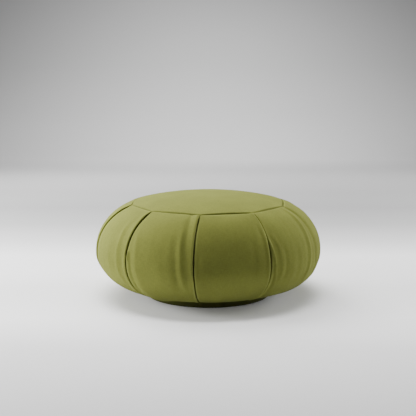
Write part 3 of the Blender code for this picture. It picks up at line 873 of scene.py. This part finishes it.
def makeCanvas(c):
    material = bpy.data.materials.new("oliveCotton")
    material.use_nodes = True
    nodes, links = material.node_tree.nodes, material.node_tree.links
    shader = nodes["Principled BSDF"]
    shader.inputs["Roughness"].default_value = c["roughness"]
    shader.inputs["Sheen Weight"].default_value = c["sheen"]
    shader.inputs["Sheen Roughness"].default_value = c["sheenRoughness"]
    shader.inputs["Sheen Tint"].default_value = c["sheenTint"]
    shader.inputs["Specular IOR Level"].default_value = c["specular"]
    clothMap = nodes.new("ShaderNodeUVMap")
    clothMap.uv_map = "cloth"
    coordinates = nodes.new("ShaderNodeTexCoord")

    def threads(direction, stretch):
        # one set of parallel threads, with slubs drawn out along them
        wave = nodes.new("ShaderNodeTexWave")
        wave.bands_direction = direction
        wave.inputs["Scale"].default_value = 2 * math.pi / (waveRadians * c["threadGap"])
        wave.inputs["Distortion"].default_value = c["waver"]
        wave.inputs["Detail"].default_value = 1
        links.new(clothMap.outputs["UV"], wave.inputs["Vector"])
        mapping = nodes.new("ShaderNodeMapping")
        mapping.inputs["Scale"].default_value = stretch
        links.new(clothMap.outputs["UV"], mapping.inputs["Vector"])
        return wave.outputs["Fac"], noise(mapping.outputs["Vector"], c["slub"], 2)

    def noise(place, scale, detail):
        texture = nodes.new("ShaderNodeTexNoise")
        texture.inputs["Scale"].default_value = scale
        texture.inputs["Detail"].default_value = detail
        links.new(place, texture.inputs["Vector"])
        return texture.outputs["Fac"]

    def combine(operation, first, second):
        # second is another node's output or a plain number
        node = nodes.new("ShaderNodeMath")
        node.operation = operation
        links.new(first, node.inputs[0])
        if isinstance(second, float):
            node.inputs[1].default_value = second
        else:
            links.new(second, node.inputs[1])
        return node.outputs["Value"]

    def towards(colour, tone, most):
        # draws a colour towards the tone of that name, as far as the piece's attribute says
        share = nodes.new("ShaderNodeAttribute")
        share.attribute_name = tone
        mixed = nodes.new("ShaderNodeMix")
        mixed.data_type = "RGBA"
        mixed.inputs["B"].default_value = c[tone]
        links.new(combine("MULTIPLY", share.outputs["Fac"], most), mixed.inputs["Factor"])
        links.new(colour, mixed.inputs["A"])
        return mixed.outputs["Result"]

    warp, warpSlubs = threads("X", (1, 1 / c["slubLength"], 1))
    weft, weftSlubs = threads("Y", (1 / c["slubLength"], 1, 1))
    weave = combine("MULTIPLY", warp, weft)
    slubs = combine("ADD", warpSlubs, weftSlubs)
    mottle = noise(coordinates.outputs["Object"], c["mottle"], 3)
    slubTone = combine("MULTIPLY", slubs, c["slubTone"])
    tone = combine("ADD", slubTone, combine("MULTIPLY", mottle, c["mottleTone"]))
    ramp = nodes.new("ShaderNodeValToRGB")
    for stop, place, colour in zip(ramp.color_ramp.elements, c["tones"], (c["deep"], c["light"])):
        stop.position = place
        stop.color = colour
    links.new(tone, ramp.inputs["Fac"])
    # painted highlight on the fold edges, then painted shade in the slots, the seams and under the cushion
    highlighted = towards(ramp.outputs["Color"], "paintedHighlight", c["highlightStrength"])
    links.new(towards(highlighted, "paintedShade", c["paintedShadeStrength"]), shader.inputs["Base Color"])
    bump = nodes.new("ShaderNodeBump")
    bump.inputs["Strength"].default_value = c["weaveStrength"]
    bump.inputs["Distance"].default_value = c["weaveDepth"]
    links.new(combine("ADD", weave, combine("MULTIPLY", slubs, c["slubDepth"])), bump.inputs["Height"])
    links.new(bump.outputs["Normal"], shader.inputs["Normal"])
    return material


oliveCotton = makeCanvas(canvas)
for piece, node in ((pleatedSide, "pleated_side"), (topRound, "top_round"), (bottomRound, "bottom_round")):
    piece.data.materials.append(oliveCotton)
    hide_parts(node)
    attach(piece, "root")

print("cloth dyed olive")

# A pale paper sweep that turns up behind the cushion, and soft boxes round the cushion. The paper's grey is
# painted light and shade: pairs of the way along the sweep and a grey, lighter and darker where light falls
# on it. aim is where a lamp points that names no aim of its own.
studio = {
    "front": -4.0,
    "back": 1.6,
    "bend": 1.5,
    "bendSteps": 40,
    "tall": 4.5,
    "width": 9.0,
    "paintedPaperGreys": (
        (-0.30, 0.64), (-0.24, 0.70), (-0.16, 0.75), (-0.06, 0.68), (0.03, 0.66), (0.14, 0.73),
        (0.28, 0.75), (0.43, 0.55), (0.62, 0.38), (0.84, 0.33), (1.10, 0.41), (1.43, 0.65),
        (1.78, 0.80), (2.00, 0.71), (2.37, 0.55), (2.83, 0.39), (3.37, 0.27),
    ),
    "paperFrom": -0.5,
    "span": 8.0,  # the way that the ramp of greys covers
    "roughness": 0.9,
    "specular": 0.1,
    "aim": (0, 0, 0.07),
    "airStrength": 0.0,
}
# spread is in degrees, and on names the one thing that a lamp lights
lamps = [
    {"name": "leftBox", "at": (-1.455, 0, 0.413), "size": (0.5, 0.5), "power": 38.8},
    {"name": "leftBack", "at": (-1.26, 0.728, 0.413), "size": (0.5, 0.5), "power": 14.4},
    {"name": "leftBackHigh", "at": (-0.593, 0.593, 1.294), "size": (0.9, 0.9), "power": 22.5},
    {"name": "leftBehind", "at": (-0.622, 1.077, 0.889), "size": (0.8, 0.8), "power": 10.6},
    {"name": "backHigh", "at": (0, 0.839, 1.294), "size": (0.9, 0.9), "power": 11.9},
    {"name": "rightBack", "at": (1.26, 0.728, 0.413), "size": (0.5, 0.5), "power": 19.4},
    {"name": "rightBox", "at": (1.455, 0, 0.413), "size": (0.5, 0.5), "power": 5.5},
    {"name": "strip", "at": (-0.2, -0.1, 1.3), "size": (2.4, 0.3), "power": 5.1,
     "aim": (-0.2, -0.099, 0), "spread": 50},
    {"name": "floorGlow", "at": (0, -1.5, 0.6), "size": (1.6, 0.3), "power": 1.2,
     "aim": (0, -0.15, 0), "spread": 50, "on": "sweep"},
    {"name": "wallGlow", "at": (0, 1.0, 2.2), "size": (2.0, 0.8), "power": 12.9, "aim": (0, 3.2, 0.8)},
    {"name": "bendGlow", "at": (0, 1.4, 1.5), "size": (0.5, 0.4), "power": 11.5,
     "aim": (0, 2.9, 0.3), "spread": 90},
]


def makePaper(s):
    # painted light and shade: its grey follows the way along the sweep, which is y + z
    material = bpy.data.materials.new("palePaper")
    material.use_nodes = True
    nodes, links = material.node_tree.nodes, material.node_tree.links
    shader = nodes["Principled BSDF"]
    shader.inputs["Roughness"].default_value = s["roughness"]
    shader.inputs["Specular IOR Level"].default_value = s["specular"]
    coordinates = nodes.new("ShaderNodeTexCoord")
    parts = nodes.new("ShaderNodeSeparateXYZ")
    along = nodes.new("ShaderNodeMath")
    share = nodes.new("ShaderNodeMath")
    share.operation = "MULTIPLY_ADD"
    share.inputs[1].default_value = 1 / s["span"]
    share.inputs[2].default_value = -s["paperFrom"] / s["span"]
    grey = nodes.new("ShaderNodeValToRGB")
    while len(grey.color_ramp.elements) < len(s["paintedPaperGreys"]):
        grey.color_ramp.elements.new(1.0)
    for stop, (way, value) in zip(grey.color_ramp.elements, s["paintedPaperGreys"]):
        stop.position = (way - s["paperFrom"]) / s["span"]
        stop.color = (value, value, value, 1)
    links.new(coordinates.outputs["Object"], parts.inputs["Vector"])
    links.new(parts.outputs["Y"], along.inputs[0])
    links.new(parts.outputs["Z"], along.inputs[1])
    links.new(along.outputs["Value"], share.inputs[0])
    links.new(share.outputs["Value"], grey.inputs["Fac"])
    links.new(grey.outputs["Color"], shader.inputs["Base Color"])
    return material


def makeSweep(s):
    shape = bmesh.new()
    corner = shape.verts.new((-s["width"] / 2, s["front"], 0))
    bend = shape.verts.new((-s["width"] / 2, s["back"], 0))
    edge = shape.edges.new((corner, bend))
    swept = bmesh.ops.spin(
        shape, geom=[bend], cent=(-s["width"] / 2, s["back"], s["bend"]), axis=(1, 0, 0),
        angle=math.pi / 2, steps=s["bendSteps"],
    )
    last = [v for v in swept["geom_last"] if isinstance(v, bmesh.types.BMVert)][0]
    shape.edges.new((last, shape.verts.new((last.co.x, last.co.y, s["tall"]))))
    wide = bmesh.ops.extrude_edge_only(shape, edges=shape.edges[:])
    moved = [v for v in wide["geom"] if isinstance(v, bmesh.types.BMVert)]
    bmesh.ops.translate(shape, verts=moved, vec=(s["width"], 0, 0))
    bmesh.ops.recalc_face_normals(shape, faces=shape.faces)
    mesh = bpy.data.meshes.new("sweep")
    shape.to_mesh(mesh)
    shape.free()
    mesh.shade_smooth()
    mesh.materials.append(makePaper(s))
    sweep = bpy.data.objects.new("sweep", mesh)
    bpy.context.scene.collection.objects.link(sweep)


def makeLamp(lamp):
    data = bpy.data.lights.new(lamp["name"], "AREA")
    data.shape = "RECTANGLE"
    data.size, data.size_y = lamp["size"]
    data.energy = lamp["power"]
    data.spread = math.radians(lamp.get("spread", 180))
    box = bpy.data.objects.new(lamp["name"], data)
    box.location = lamp["at"]
    box.visible_camera = False
    beam = Vector(lamp.get("aim", studio["aim"])) - Vector(lamp["at"])
    box.rotation_euler = beam.to_track_quat("-Z", "Y").to_euler()
    bpy.context.scene.collection.objects.link(box)
    if "on" in lamp:
        box.light_linking.receiver_collection = bpy.data.collections.new(lamp["name"])
        box.light_linking.receiver_collection.objects.link(bpy.data.objects[lamp["on"]])


makeSweep(studio)
for lamp in lamps:
    makeLamp(lamp)
world = bpy.data.worlds.new("air")
bpy.context.scene.world = world
world.use_nodes = True
world.node_tree.nodes["Background"].inputs["Strength"].default_value = studio["airStrength"]
bpy.context.scene.view_settings.view_transform = "AgX"
print("studio lit")
